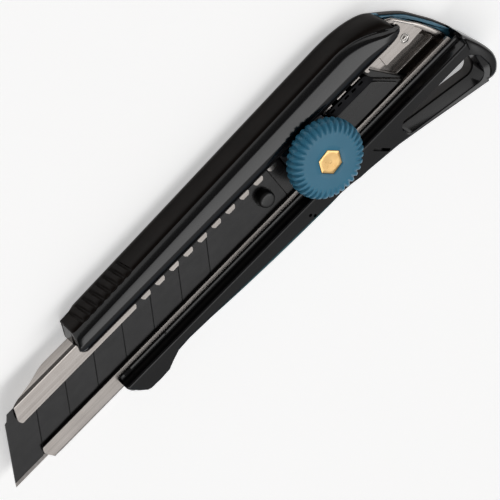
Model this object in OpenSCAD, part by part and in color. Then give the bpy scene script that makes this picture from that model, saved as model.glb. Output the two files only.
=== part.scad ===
// Utility knife: a snap-off cutter with an 18 mm blade and a dial lock.
// +X runs from the blade's tip to the tail, +Y is the spine side and +Z is the dial side.
// The knife lies on its back: z = 0 is its resting face, and y = 0 is the blade's centre line.
// x = 0 is the blade's heel while the blade stands one segment out of the handle.

/* [Blade] */
// Length of the blade from tip to heel
blade_len = 100; // [98:0.5:100]
// Width of the blade from cutting edge to back
blade_w = 18; // [17.6:0.1:18]
// Thickness of the blade
blade_t = 0.5; // [0.4:0.05:0.5]
// Distance between two snap lines
snap_pitch = 10; // [9:0.5:10]
// Width of the ground cutting bevel
bevel_w = 1.25; // [0.8:0.05:1.6]
// Radius of the hole for the carriage's stud
blade_hole_r = 2.6; // [2.5:0.05:2.8]

/* [Channel] */
// Thickness of the folded sheet
sheet_t = 0.8; // [0.7:0.05:0.8]
// Height of the channel's underside
channel_z = 2.0; // [2:0.05:2.1]
// Outer radius of the folds
fold_r = 1.0; // [0.9:0.05:1.1]
// Distance between two detent notches
notch_pitch = 5; // [5:0.1:5.2]
// Width of one detent notch
notch_w = 2; // [1.6:0.1:2.4]

/* [Handle] */
// Height of the blade's upper face above the resting face
blade_z = 5.4; // [5.4:0.05:5.5]
// Height of the spine rail's crown
crown_z = 10.2; // [10:0.05:10.3]
// Height of the lower rail's ridge
ridge_z = 10.1; // [10:0.05:10.3]
// Height of the tail's top face
tail_z = 9.9; // [9.5:0.1:10]
// Thickness of the soft pad on the back
pad_t = 0.9; // [0.8:0.05:0.9]
// Thickness of the soft skin on the spine
grip_t = 1.2; // [1:0.1:1.4]
// Number of ribs in the finger grip
rib_count = 7; // [5:1:8]

/* [Dial] */
// Radius over the dial's ribs
dial_r = 10.8; // [10.4:0.1:10.8]
// Height of the dial's face
dial_z = 15.0; // [14.6:0.1:15.2]
// Height of the dial's rim from its back edge to its face
dial_h = 4.0; // [3.6:0.1:4]
// Number of ribs around the dial
dial_ribs = 36; // [24:2:40]
// Width across the flats of the screw's hexagon
hex_af = 6.1; // [5.8:0.1:6.4]
// Radius of the screw's shank
screw_r = 2.45; // [2.4:0.01:2.45]
// Distance from the blade's heel to the dial's axis
dial_x = 12.3; // [12:0.1:12.6]

/* [Hidden] */

gap = 0.05;
shell_top = channel_z - gap;
floor_top = channel_z + sheet_t;
flange_low = blade_z + 0.2;
flange_top = flange_low + sheet_t;
lip_z = flange_top + gap;
blade_low = blade_z - blade_t;

// Outer faces of the channel's walls, edges of its flanges, and the rails' faces beside them
wall_spine = 10.6;
wall_lower = -10.5;
slot_spine = 4.6;
slot_lower = -5.1;
lip_spine = 6.1;
lip_lower = -6.4;
crown_y = 11.6;
crease_z = 9.2;
edge_z = 8.9;
ledge_z = 3.3;
rim_z = 4.0;
strip_top = 8.8;
strip_out = 0.6;
boss_r = 1.7;
hex_turn = 9;

// Stations along the knife
handle_front = -63;
rail_rear = 49.4;
rail_end = 58.9;
channel_front = -89;
ramp_start = -68;
ramp_end = -77;
first_notch = -45.8;
notches = 17;

// Outer edges of the handle in plan, spine side and lower side, from front to rear
spine_table = [[-64.8, 14.65], [-25, 15.9], [0, 16.7], [20, 17.3], [30, 17.6], [35, 17.45],
    [40, 16.6], [44.3, 15], [47.5, 12.4], [51, 9.2]];
belly_table = [[-63, -10.6], [-62, -12.2], [-60.6, -13.8], [-59, -14.5], [-55, -14.7], [-52, -14.6],
    [-49.5, -13.4], [-47, -12.3], [-43, -12.05], [-25, -12.9], [0, -14], [10, -14.5], [20, -15.4],
    [30, -16.8], [40, -19], [60, -23.4]];
tail_curve = [[60, -23.4], [62.2, -22.9], [63.9, -20.8], [64.5, -18.4], [64.2, -15.9],
    [63.2, -12.6], [61.8, -9.2], [60.4, -5.8]];
rear_curve = [[58.4, -1.6], [56.2, 2.2], [53.6, 6.4], [51, 9.2]];
// Rear edge of the channel and inner edge of the ledge behind it
channel_rear = [[59.5, -10.5], [59, -7.4], [58.3, -5], [57, -1.7], [55, 2.3], [52.6, 5.8],
    [50.2, 9.3], [48.4, 10.6]];

spine_x = [-61, -43, -25, -7, 11, 30, 32.5, 35, 37.5, 40, 42.2, 44.3, 46, 47.5];
belly_x = [-63, -62, -60.6, -59, -55, -52, -49.5, -47, -43, -25, 0, 10, 20, 30, 40, 50, 58];
screw_spots = [[-45, 12.35], [28, 13], [-55, -12.4], [24, -12.9]];
rivet_spots = [[-50, 0], [-20, 0], [30, 0]];
tab_spot = [48.5, 4.1];

function spine_edge(x) = lookup(x, spine_table);
function belly_edge(x) = lookup(x, belly_table);
function arc(c, r, a0, a1, n = 6) =
    [for (i = [0:n]) let (a = a0 + (a1 - a0) * i / n) c + r * [cos(a), sin(a)]];

// Solid through a list of rings that all have the same number of points
module loft(rings) {
    n = len(rings[0]);
    m = len(rings);
    sides = [for (r = [0:m - 2], i = [0:n - 1])
        [r * n + i, r * n + (i + 1) % n, (r + 1) * n + (i + 1) % n, (r + 1) * n + i]];
    first = [for (i = [0:n - 1]) n - 1 - i];
    last = [for (i = [0:n - 1]) (m - 1) * n + i];
    polyhedron(points = [for (r = rings, p = r) p], faces = concat([first], sides, [last]));
}

// Layer of a plan outline between two heights
module layer(z0, z1) translate([0, 0, z0]) linear_extrude(z1 - z0) children();

// Whole outline of the handle in plan
module handle_plan() polygon(concat(
    [[-63.6, 6.2], [-64.9, 9.5], [-62.6, spine_edge(-62.6)]],
    [for (x = spine_x) [x, spine_edge(x)]],
    [for (i = [len(rear_curve) - 1:-1:0]) rear_curve[i]],
    [for (i = [len(tail_curve) - 1:-1:0]) tail_curve[i]],
    [for (i = [len(belly_x) - 1:-1:0]) [belly_x[i], belly_edge(belly_x[i])]],
    [[handle_front, -6.5]]));

// Opening of the tail loop in plan
module loop_plan(grow = 0) hull() {
    translate([35.2, -13.75]) circle(2 + grow, $fn = 32);
    translate([35.4, -14.8]) circle(2 + grow, $fn = 32);
    translate([57.2, -14.45]) circle(2.7 + grow, $fn = 32);
    translate([57, -18.2]) circle(2.7 + grow, $fn = 32);
}

module at_spots(spots, z) for (s = spots) translate([s[0], s[1], z]) children();

module back_shell() color("#4d7f97") difference() {
    union() {
        layer(pad_t, shell_top) handle_plan();
        // Raised ledge behind the channel's rear edge
        layer(shell_top - 0.2, ledge_z) difference() {
            handle_plan();
            polygon(concat([[-80, -40], [59.75, -40]], [for (p = channel_rear) p + [0.35, 0]],
                [[47.6, 11], [47.6, 40], [-80, 40]]));
            translate([58.6, -7.5 - 30]) square([20, 30]);
        }
        at_spots(screw_spots, shell_top - 0.2) cylinder(h = 1.2, r = boss_r, $fn = 32);
    }
    layer(-1, 20) loop_plan();
    at_spots(screw_spots, -1) cylinder(h = 10, r = 1.3, $fn = 24);
    at_spots(rivet_spots, -1) cylinder(h = 10, r = 1.5, $fn = 24);
}

module back_pad() color("#202022") difference() {
    layer(0, pad_t) handle_plan();
    layer(-1, 20) loop_plan();
    at_spots(screw_spots, -1) cylinder(h = 10, r = 2.4, $fn = 24);
    // Shallow slanted grip grooves in the resting face
    for (i = [0:11]) translate([-33 + 5 * i, 0, -0.1]) rotate([0, 0, 30]) cube([1.4, 14, 1], center = true);
}

// Inner face of the spine rail, from its lip to its crown, as shares of the way in y and in z
inner_face = [[0, 0], [0.1, 0.18], [0.2, 0.35], [0.32, 0.53], [0.46, 0.7], [0.6, 0.83], [0.8, 0.95],
    [1, 1]];

// Cross-section of the spine rail at one station
function spine_ring(x, w) = concat(
    [[x, wall_spine + gap, shell_top], [x, wall_spine + gap, lip_z], [x, lip_spine, lip_z]],
    [for (s = inner_face) [x, lip_spine + (crown_y - lip_spine) * s[0], lip_z + 0.3
        + (crown_z - lip_z - 0.3) * s[1]]],
    [for (s = [0.4, 0.75, 1]) [x, crown_y + (w - crown_y) * s, crown_z - (crown_z - crease_z) * s * s]],
    [[x, w, shell_top]]);

module spine_rail() color("#1c1c1f") difference() {
    intersection() {
        loft([for (x = [-65, -25, 11, 30, 50])
            spine_ring(x, min(spine_edge(x), 17.6) + (x > 30 ? 2 : -grip_t))]);
        layer(0, 20) polygon(concat(
            [[-63.7, 6], [-64.9, 9], [-62.6, spine_edge(-62.6) - grip_t]],
            [for (x = spine_x) [x, spine_edge(x) - grip_t]],
            [[rail_rear, 9], [48.4, 6]]));
    }
    at_spots(screw_spots, 0) cylinder(h = shell_top + 1.02, r = boss_r + 0.02, $fn = 32);
    at_spots(screw_spots, 0) cylinder(h = 8, r = 1.12, $fn = 24);
}

module spine_grip() color("#2a2624") difference() {
    layer(pad_t, crease_z) polygon(concat(
        [for (x = concat([-62.6], spine_x)) [x, spine_edge(x)]],
        [for (i = [len(spine_x) - 1:-1:0]) [spine_x[i], spine_edge(spine_x[i]) - grip_t]],
        [[-62.6, spine_edge(-62.6) - grip_t]]));
    // The shell's edge and the pad reach the outside below the skin
    layer(0, shell_top) handle_plan();
    // Grooves between the ribs of the finger grip
    for (i = [0:rib_count]) translate([-59.5 + 2.5 * i, spine_edge(-59.5 + 2.5 * i) + 0.15, 0])
        cylinder(h = 20, r = 0.6, $fn = 16);
}

// Cross-section of the lower rail at one station
function belly_ring(x) = let (w = belly_edge(x), y0 = -8.6) concat(
    [[x, w, shell_top], [x, w, edge_z]],
    [for (s = [0.85, 0.6, 0.3]) [x, y0 + (w - y0) * s, ridge_z - (ridge_z - edge_z) * s * s * s]],
    [[x, y0, ridge_z], [x, -8.15, ridge_z - 0.2], [x, -7.8, lip_z + 0.65], [x, lip_lower, lip_z + 0.2],
    [x, lip_lower, lip_z], [x, wall_lower - gap, lip_z], [x, wall_lower - gap, shell_top]]);

module lower_rail() color("#1c1c1f") difference() {
    union() {
        // The rail is cut square at its rear end, inside the tail
        intersection() {
            loft([for (x = concat(belly_x, [61])) belly_ring(x)]);
            layer(0, 20) translate([-70, -30]) square([rail_end + 70, 30]);
        }
        layer(shell_top, tail_z) polygon(concat([[57, -10.6], [59.75, -10.6], [59.75, -8]],
            [for (i = [len(tail_curve) - 1:-1:0]) tail_curve[i]], [[57, belly_edge(57) + 0.3]]));
    }
    layer(-1, 20) loop_plan();
    at_spots(screw_spots, 0) cylinder(h = shell_top + 1.02, r = boss_r + 0.02, $fn = 32);
    at_spots(screw_spots, 0) cylinder(h = 7.8, r = 1.12, $fn = 24);
    // Seat of the soft strip in the outer face
    belly_strip(0.02);
    // Snap windows
    for (x = [18.4, 26]) translate([x, belly_edge(x), 5.2]) cube([2.6, 1.2, 1.6], center = true);
}

// Strip along the lower side, let into the rail and standing a little proud
module belly_strip(grow) layer(3 - grow, strip_top + grow) polygon(concat(
    [for (x = [-38:8:10]) [x, belly_edge(x) - strip_out * sin((x + 38) * 180 / 48)]],
    [for (x = [10:-8:-38]) [x, belly_edge(x) + 0.8 + grow]]));

module belly_grip() color("#1f4f55") belly_strip(0);

// Cross-section of the folded channel, its outer line and then its inner line
function channel_profile() = let (r = fold_r, q = fold_r - sheet_t, b = channel_z, t = flange_top,
        l = wall_lower, s = wall_spine, f = floor_top, u = flange_low) concat(
    [[slot_lower, t]], arc([l + r, t - r], r, 90, 180), arc([l + r, b + r], r, 180, 270),
    arc([s - r, b + r], r, 270, 360), arc([s - r, t - r], r, 0, 90), [[slot_spine, t], [slot_spine, u]],
    arc([s - r, t - r], q, 90, 0), arc([s - r, b + r], q, 360, 270),
    arc([l + r, b + r], q, 270, 180), arc([l + r, t - r], q, 180, 90), [[slot_lower, u]]);

module blade_channel() color("#c9c4be") difference() {
    union() {
        difference() {
            translate([channel_front, 0, 0]) rotate([90, 0, 90]) linear_extrude(151)
                polygon(channel_profile());
            // The walls taper away towards the nose
            translate([0, 20, 0]) rotate([90, 0, 0]) linear_extrude(40) polygon([[-95, -1],
                [-95, 6.3], [-86.2, 6.3], [-83.2, 5.64], [-79.2, 4.7], [-74.7, 2.6], [-71.2, 2.1],
                [ramp_start, 2], [ramp_start, -1]]);
            // Rear edge
            layer(-1, 20) polygon(concat(channel_rear,
                [[48, 12], [48, 20], [80, 20], [80, -20], [59.4, -20]]));
        }
        // The floor ramps up to the blade's back at the nose
        translate([0, 8, 0]) rotate([90, 0, 0]) linear_extrude(16) polygon([[ramp_start + 1, channel_z],
            [ramp_start, channel_z], [ramp_end, blade_low - gap - sheet_t], [-86, blade_low - gap - sheet_t],
            [-86, blade_low - gap], [ramp_end - 0.2, blade_low - gap], [ramp_start, floor_top],
            [ramp_start + 1, floor_top]]);
        // Widened flange at the tail
        layer(flange_low, flange_top) polygon([[40.4, 6], [40.4, 2.15], [46.6, 2.15], [48.6, 1.9],
            [51.2, 2.15], [53.3, 2.2], [51.8, 4.8], [50.2, 8]]);
        // Rolled rim along the rear edge
        layer(channel_z + 0.2, rim_z) polygon(concat([for (i = [1:6]) channel_rear[i]],
            [for (i = [6:-1:1]) channel_rear[i] - [1.6, 0]]));
    }
    // Narrowed flange ahead of it, behind the last notch
    layer(flange_low - 0.5, 20) translate([36.2, 3]) square([4.2, 2.6]);
    // Slanted noses of the flanges
    layer(blade_z - 0.1, 20) polygon([[-95, 12], [-85.8, 12], [-86.3, 9.9], [-87.7, 6.6],
        [-87.8, 5.6], [-87, 4.8], [-86, 4.5], [-86, -5.3], [-88, -5.3], [-88.8, -5.8], [-89, -7.2],
        [-87.6, -9.95], [-87.6, -12], [-95, -12]]);
    // Detent notches in the spine flange
    for (i = [0:notches - 1]) translate([first_notch - 1 + notch_pitch * i, slot_spine - 1, flange_low - 0.5])
        cube([notch_w, 2.8, 2]);
    at_spots(rivet_spots, -1) cylinder(h = 5, r = 1.5, $fn = 24);
    translate([tab_spot[0], tab_spot[1], flange_low - 1]) cylinder(h = 4, r = 1.1, $fn = 24);
    // Shallow slanted recess pressed into the floor
    translate([39, 0, 0]) rotate([90, 0, 90]) linear_extrude(16)
        polygon([[-3.7, 4], [-3.7, floor_top - 0.35], [0, floor_top], [0, 4]]);
}

module channel_rivets() color("#b8b4ae") at_spots(rivet_spots, pad_t) {
    cylinder(h = floor_top - pad_t, r = 1.48, $fn = 32);
}

module tab_rivet() color("#bdb8b2") translate([tab_spot[0], tab_spot[1], 0]) {
    translate([0, 0, flange_low]) cylinder(h = sheet_t + 0.1, r = 1.08, $fn = 32);
    translate([0, 0, flange_top]) cylinder(h = 0.25, r1 = 1.4, r2 = 1.0, $fn = 32);
}

module shell_screws() color("#8c8c90") at_spots(screw_spots, 0) {
    translate([0, 0, 0.3]) cylinder(h = 0.6, r = 2.2, $fn = 32);
    translate([0, 0, 0.8]) cylinder(h = 6.4, r = 1.1, $fn = 32);
}

// Everything from here to the detent spring slides along the channel
module slider_carriage() color("#1d1c1c") difference() {
    union() {
        // Flat bed that fills the channel
        layer(floor_top + gap, blade_low - gap) polygon([[-12, 7], [-10, 9], [33.7, 9], [44.8, -8.7],
            [-10, -8.7], [-12, -6.7]]);
        // Stop behind the blade's heel
        layer(floor_top + 1, blade_z) translate([0.1, -8.9]) square([4.3, 17.8]);
        // Block that carries the cap plate, with its slanted rear in three steps
        for (k = [0:2]) layer(floor_top + 1, flange_low - gap - 0.6 * k)
            polygon([[21.2, -8.4], [21.2, 2], [34.4 + 0.8 * k, 2], [40.6 + 0.8 * k, -8.4]]);
    }
    // Pocket of the clamp plate, and clearance for the screw's end
    layer(floor_top + gap + 0.75, 20) translate([4.4, -8.4]) square([15.8, 16.8]);
    translate([dial_x, 0, 0]) cylinder(h = 10, r = 3.7, $fn = 48);
    translate([-4.9, 0, 0]) cylinder(h = 10, r = 1.62, $fn = 32);
}

module slider_cap() color("#262424") layer(flange_low - gap, flange_top)
    polygon([[21.2, -4.55], [21.2, 2], [34.8, 2], [36, 1], [40.6, -4.55]]);

// The spring lies on the spine flange. Its stem goes down through the slot to the bed, and meets the
// widened flange at the rear end of the travel
module detent_spring() color("#17171a") difference() {
    union() {
        layer(flange_top + gap, flange_top + gap + 0.4)
            polygon([[20.8, 2.05], [20.8, 5.7], [34.2, 5.7], [35.9, 2.9], [35.2, 2.05]]);
        layer(blade_low - gap, flange_top + 0.2) translate([21.2, 2.1]) square([7.3, 2.3]);
    }
    for (i = [0:4]) translate([21.6 + 2.5 * i, 4.5, 0]) cube([1.5, 0.5, 20]);
}

module blade() color("#3b3a3c") difference() {
    intersection() {
        layer(0, 20) polygon([[-blade_len, -blade_w / 2], [-blade_len + 9.35, 7.2], [-blade_len + 10.1, 7.4],
            [-blade_len + 11.45, blade_w / 2], [-1, blade_w / 2], [0, blade_w / 2 - 1],
            [0, -blade_w / 2 + 2], [-1, -blade_w / 2]]);
        translate([-blade_len - 1, 0, 0]) rotate([90, 0, 90]) linear_extrude(blade_len + 2) polygon([
            [blade_w / 2, blade_low], [-blade_w / 2 + bevel_w, blade_low],
            [-blade_w / 2, blade_z - blade_t / 2],
            [-blade_w / 2 + bevel_w, blade_z], [blade_w / 2, blade_z]]);
    }
    // Snap lines at 60 degrees
    for (i = [1:7]) translate([-blade_len + snap_pitch * i, -blade_w / 2, blade_z - 0.12]) rotate([0, 0, 60])
        translate([bevel_w, -0.15, 0]) cube([30, 0.3, 1]);
    translate([-4.9, 0, 0]) cylinder(h = 20, r = blade_hole_r, $fn = 48);
}

module blade_stud() color("#262528") translate([-4.9, 0, 0]) {
    translate([0, 0, floor_top + 0.2]) cylinder(h = 1.9, r = 1.6, $fn = 32);
    translate([0, 0, blade_low - gap]) cylinder(h = 2.8, r = 2.3, $fn = 48);
    translate([0, 0, blade_low - gap + 2.8]) cylinder(h = 0.3, r1 = 2.3, r2 = 1.9, $fn = 48);
}

module ring(z, h, r, hole) translate([dial_x, 0, z]) difference() {
    cylinder(h = h, r = r, $fn = 64);
    translate([0, 0, -1]) cylinder(h = h + 2, r = hole, $fn = 48);
}

module pressure_washer() color("#9a9a9c") ring(flange_top + gap, 0.8, 5.8, 2.9);

module wave_washer() color("#7d7d82") ring(flange_top + gap + 0.8, 0.45, 4.2, 2.9);

// The dial turns on the screw's axis
module dial_knob() color("#5a98b8") translate([dial_x, 0, 0]) difference() {
    union() {
        translate([0, 0, flange_top + 1.35]) cylinder(h = 5, r = 4.3, $fn = 64);
        translate([0, 0, dial_z - dial_h]) cylinder(h = dial_h - 1.2, r = dial_r - 0.5, $fn = 96);
        translate([0, 0, dial_z - 1.2]) cylinder(h = 1.2, r1 = dial_r - 0.5, r2 = dial_r - 1.7, $fn = 96);
        for (i = [0:dial_ribs - 1]) rotate([0, 0, 360 / dial_ribs * i])
            translate([dial_r - 2.6, -0.4, dial_z - dial_h + 0.4]) cube([2.6, 0.8, dial_h - 1.2]);
    }
    translate([0, 0, 5]) cylinder(h = 20, r = screw_r + 0.03, $fn = 48);
    translate([0, 0, dial_z - 2.4]) rotate(hex_turn) cylinder(h = 5, r = hex_af / sqrt(3) + 0.03, $fn = 6);
    // Hollow underside
    translate([0, 0, dial_z - dial_h - 1]) difference() {
        cylinder(h = 2.4, r = 9, $fn = 64);
        translate([0, 0, -1]) cylinder(h = 5, r = 4.3, $fn = 64);
    }
}

module dial_screw() color("#dcb274") translate([dial_x, 0, 0]) {
    translate([0, 0, dial_z - 2.35]) rotate(hex_turn) cylinder(h = 2.35, r = hex_af / sqrt(3), $fn = 6);
    translate([0, 0, floor_top + 0.15]) cylinder(h = dial_z - 2.2 - floor_top, r = screw_r, $fn = 48);
}

module retaining_ring() color("#6a6a70") ring(floor_top + 0.2, 0.4, 3.4, screw_r);

// The clamp plate is pulled up against the flanges, and drops as the dial is opened
module clamp_plate() color("#a3a3a6") translate([dial_x, 0, flange_low - gap - 1.05]) difference() {
    translate([-7.5, -8.2, 0]) cube([15, 16.4, 1.05]);
    translate([0, 0, -1]) cylinder(h = 4, r = screw_r + 0.05, $fn = 48);
}

back_shell();
back_pad();
spine_rail();
spine_grip();
lower_rail();
belly_grip();
blade_channel();
channel_rivets();
tab_rivet();
shell_screws();
slider_carriage();
slider_cap();
detent_spring();
blade();
blade_stud();
pressure_washer();
wave_washer();
dial_knob();
dial_screw();
retaining_ring();
clamp_plate();
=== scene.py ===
"""Looks of the utility knife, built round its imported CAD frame.

Lengths in the geometry code are millimetres in the part's own frame: +X from the blade's
tip to the tail, +Y to the spine and +Z out of the dial side. dress() turns them into metres.
"""

import math

import bmesh
import bpy
from mathutils import Matrix, Vector


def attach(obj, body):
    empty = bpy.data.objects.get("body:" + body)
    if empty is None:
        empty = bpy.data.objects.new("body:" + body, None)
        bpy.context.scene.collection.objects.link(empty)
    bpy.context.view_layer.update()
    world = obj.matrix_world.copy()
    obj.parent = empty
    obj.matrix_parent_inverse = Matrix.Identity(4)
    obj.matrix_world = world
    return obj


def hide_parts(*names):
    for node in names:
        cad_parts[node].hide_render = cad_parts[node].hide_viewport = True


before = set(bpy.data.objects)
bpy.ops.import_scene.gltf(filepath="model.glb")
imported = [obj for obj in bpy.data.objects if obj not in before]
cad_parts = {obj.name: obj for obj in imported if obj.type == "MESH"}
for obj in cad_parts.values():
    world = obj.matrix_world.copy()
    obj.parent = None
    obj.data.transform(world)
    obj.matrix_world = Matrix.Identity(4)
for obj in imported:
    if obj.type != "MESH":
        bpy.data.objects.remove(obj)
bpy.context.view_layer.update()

MM = 0.001

# Heights and places shared with the CAD
PAD_TOP = 0.9
SHELL_TOP = 1.95
LEDGE_TOP = 3.3
CHANNEL_LOW = 2.0
FLOOR_TOP = 2.8
BLADE_TOP = 5.4
FLANGE_LOW = 5.6
FLANGE_TOP = 6.4
LIP = 6.45
DIAL_X = 12.3
STUD_X = -4.9

SPINE = [(-64.8, 14.65), (-25, 15.9), (0, 16.7), (20, 17.3), (30, 17.6)]
BELLY = [(-62.9, -10.9), (-61.6, -12), (-60.4, -13.4), (-59.5, -14.5), (-58.6, -14.95),
         (-55, -15.05), (-52, -14.85),
         (-49.5, -13.5), (-47, -12.35), (-43, -12.05), (-25, -12.9), (0, -14), (10, -14.5),
         (14, -14.9), (17, -15.55), (20, -15.8), (30, -17.05), (40, -19.1), (60, -23.4)]
TAIL = [(60, -23.4), (62.2, -22.9), (63.9, -20.8), (64.48, -18.4), (64.2, -15.9),
        (63.2, -12.6), (61.8, -9.2), (60.4, -5.8)]
REAR_EDGE = [(61.2, -7.6), (60.4, -5.8), (58.4, -1.6), (56.2, 2.2), (53.6, 6.4), (51, 9.2),
             (47.9, 12.1)]
CHANNEL_REAR = [(59.5, -10.5), (59, -7.4), (58.3, -5), (57, -1.7), (55, 2.3), (52.6, 5.8),
                (50.2, 9.3), (48.4, 10.6)]
WALL_SPINE, WALL_LOWER = 10.6, -10.5
SLOT_SPINE, SLOT_LOWER = 4.6, -5.3
BOSS_R = 1.7
BOSS_TOP = SHELL_TOP + 1.0
BOSS_PIT_R, BOSS_PIT_TOP = BOSS_R + 0.03, SHELL_TOP + 1.02
# The channel's rear edge lies this much further in than the CAD's, and the ledge's inner edge
# moves with it
REAR_STEP = 0.7
SCREWS = [(-45, 12.35), (28, 13), (-55, -12.4), (24, -12.9)]
RIVETS = [(-50, 0), (-20, 0), (30, 0)]
TAB_RIVET = (48.5, 4.1)


# ---------------------------------------------------------------- geometry helpers
def along(table, x):
    """Straight-line lookup in a table of (x, value), held at its ends."""
    if x <= table[0][0]:
        return table[0][1]
    for (xa, ya), (xb, yb) in zip(table, table[1:]):
        if x <= xb:
            return ya + (yb - ya) * (x - xa) / (xb - xa)
    return table[-1][1]


def smooth(points, steps):
    """Catmull-Rom curve through points of any dimension."""
    out = []
    last = len(points) - 1
    for k in range(last):
        p0, p1 = points[max(k - 1, 0)], points[k]
        p2, p3 = points[k + 1], points[min(k + 2, last)]
        for i in range(steps):
            t = i / steps
            out.append(tuple(
                0.5 * (2 * b + (c - a) * t + (2 * a - 5 * b + 4 * c - d) * t * t
                       + (3 * b - a - 3 * c + d) * t ** 3)
                for a, b, c, d in zip(p0, p1, p2, p3)))
    out.append(tuple(points[-1]))
    return out


def rounded(points, radius, steps=4):
    """Closed outline with every corner rounded; radius is one number or one for each corner."""
    out = []
    count = len(points)
    for k, p in enumerate(points):
        r = radius[k] if isinstance(radius, (list, tuple)) else radius
        here = Vector(p)
        a = Vector(points[k - 1]) - here
        b = Vector(points[(k + 1) % count]) - here
        cut = min(r, a.length * 0.45, b.length * 0.45)
        if cut <= 0:
            out.append(tuple(here))
            continue
        a, b = here + a.normalized() * cut, here + b.normalized() * cut
        for i in range(steps + 1):
            t = i / steps
            out.append(tuple(a * (1 - t) ** 2 + here * 2 * t * (1 - t) + b * t * t))
    return out


# Least cosine of half a corner's turn, so that a sharp corner isn't moved too far
SHARPEST_CORNER = 0.5


def offset(outline, distance, limits=None, weights=None):
    """Counter-clockwise outline moved outwards by a distance.

    limits says how far in each point may go, and weights says what share of the way it goes.
    """
    if not distance:
        return list(outline)
    out = []
    count = len(outline)
    for k, p in enumerate(outline):
        if limits:
            step = max(distance, -limits[k])
        else:
            step = distance * (weights[k] if weights else 1)
        here = Vector(p)
        a = (here - Vector(outline[k - 1])).normalized()
        b = (Vector(outline[(k + 1) % count]) - here).normalized()
        n = Vector((a.y + b.y, -a.x - b.x))
        n = n.normalized() if n.length > 1e-9 else Vector((a.y, -a.x))
        lean = max(SHARPEST_CORNER, n.dot(Vector((a.y, -a.x))))
        out.append(tuple(here + n * (step / lean)))
    return out


def make(name, verts, faces):
    mesh = bpy.data.meshes.new(name)
    mesh.from_pydata(verts, [], faces)
    work = bmesh.new()
    work.from_mesh(mesh)
    bmesh.ops.remove_doubles(work, verts=work.verts, dist=2e-4)
    bmesh.ops.recalc_face_normals(work, faces=work.faces)
    work.to_mesh(mesh)
    work.free()
    obj = bpy.data.objects.new(name, mesh)
    bpy.context.scene.collection.objects.link(obj)
    return obj


def loft(name, rings, closed=False):
    """Solid through rings of equally many points, capped unless the rings form a loop."""
    n, m = len(rings[0]), len(rings)
    verts = [p for ring in rings for p in ring]
    faces = []
    for k in range(m if closed else m - 1):
        j = (k + 1) % m
        for i in range(n):
            h = (i + 1) % n
            faces.append((k * n + i, k * n + h, j * n + h, j * n + i))
    if not closed:
        faces.append(tuple(range(n - 1, -1, -1)))
        faces.append(tuple(range((m - 1) * n, m * n)))
    return make(name, verts, faces)


def stack(name, outline, levels, limits=None, weights=None):
    """Solid whose plan outline is moved outwards by d at each height: levels of (z, d)."""
    return loft(name, [[(x, y, z) for x, y in offset(outline, d, limits, weights)]
                       for z, d in levels])


def lathe(name, profile, centre, n=64, shape=None):
    """Turned solid of (r, z) points from axis to axis, or a closed ring if it starts off the axis.

    shape(k, r, z, angle) may move point k to another (r, z).
    """
    verts, faces, rows = [], [], []
    for k, (r, z) in enumerate(profile):
        if r == 0:
            rows.append([len(verts)] * n)
            verts.append((centre[0], centre[1], z))
            continue
        rows.append(list(range(len(verts), len(verts) + n)))
        for i in range(n):
            a = 2 * math.pi * i / n
            rr, zz = shape(k, r, z, a) if shape else (r, z)
            verts.append((centre[0] + rr * math.cos(a), centre[1] + rr * math.sin(a), zz))
    for ra, rb in zip(rows, rows[1:] + ([] if profile[0][0] == 0 else [rows[0]])):
        for i in range(n):
            h = (i + 1) % n
            quad = [ra[i], ra[h], rb[h], rb[i]]
            face = [v for k, v in enumerate(quad) if v not in quad[:k]]
            if len(face) > 2:
                faces.append(tuple(face))
    return make(name, verts, faces)


def applied(obj):
    """Takes the result of obj's modifiers as its mesh."""
    bpy.context.view_layer.update()
    result = bpy.data.meshes.new_from_object(
        obj.evaluated_get(bpy.context.evaluated_depsgraph_get()))
    old = obj.data
    obj.modifiers.clear()
    obj.data = result
    bpy.data.meshes.remove(old)
    return obj


def carve(obj, *tools, how="DIFFERENCE"):
    for tool in tools:
        mod = obj.modifiers.new("carve", "BOOLEAN")
        mod.object, mod.operation, mod.solver = tool, how, "MANIFOLD"
        applied(obj)
        bpy.data.objects.remove(tool)
    return obj


def join(obj, *tools):
    return carve(obj, *tools, how="UNION")


def soften(obj, width, segments=2, angle=38):
    mod = obj.modifiers.new("edges", "BEVEL")
    mod.width, mod.segments = width, segments
    mod.limit_method, mod.angle_limit = "ANGLE", math.radians(angle)
    mod.use_clamp_overlap = True
    return applied(obj)


def dress(obj, material, body, slot, *nodes, sharp=42, flat_faces=False):
    """Scales one finished piece to metres, then shades, paints and binds it."""
    obj.data.transform(Matrix.Scale(MM, 4))
    obj.data.shade_smooth()
    obj.data.set_sharp_from_angle(angle=math.radians(sharp))
    if flat_faces:
        mod = obj.modifiers.new("normals", "WEIGHTED_NORMAL")
        mod.keep_sharp, mod.weight = True, 50
    obj.data.materials.clear()
    obj.data.materials.append(material)
    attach(obj, body)
    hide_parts(*nodes)
    return obj


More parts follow.
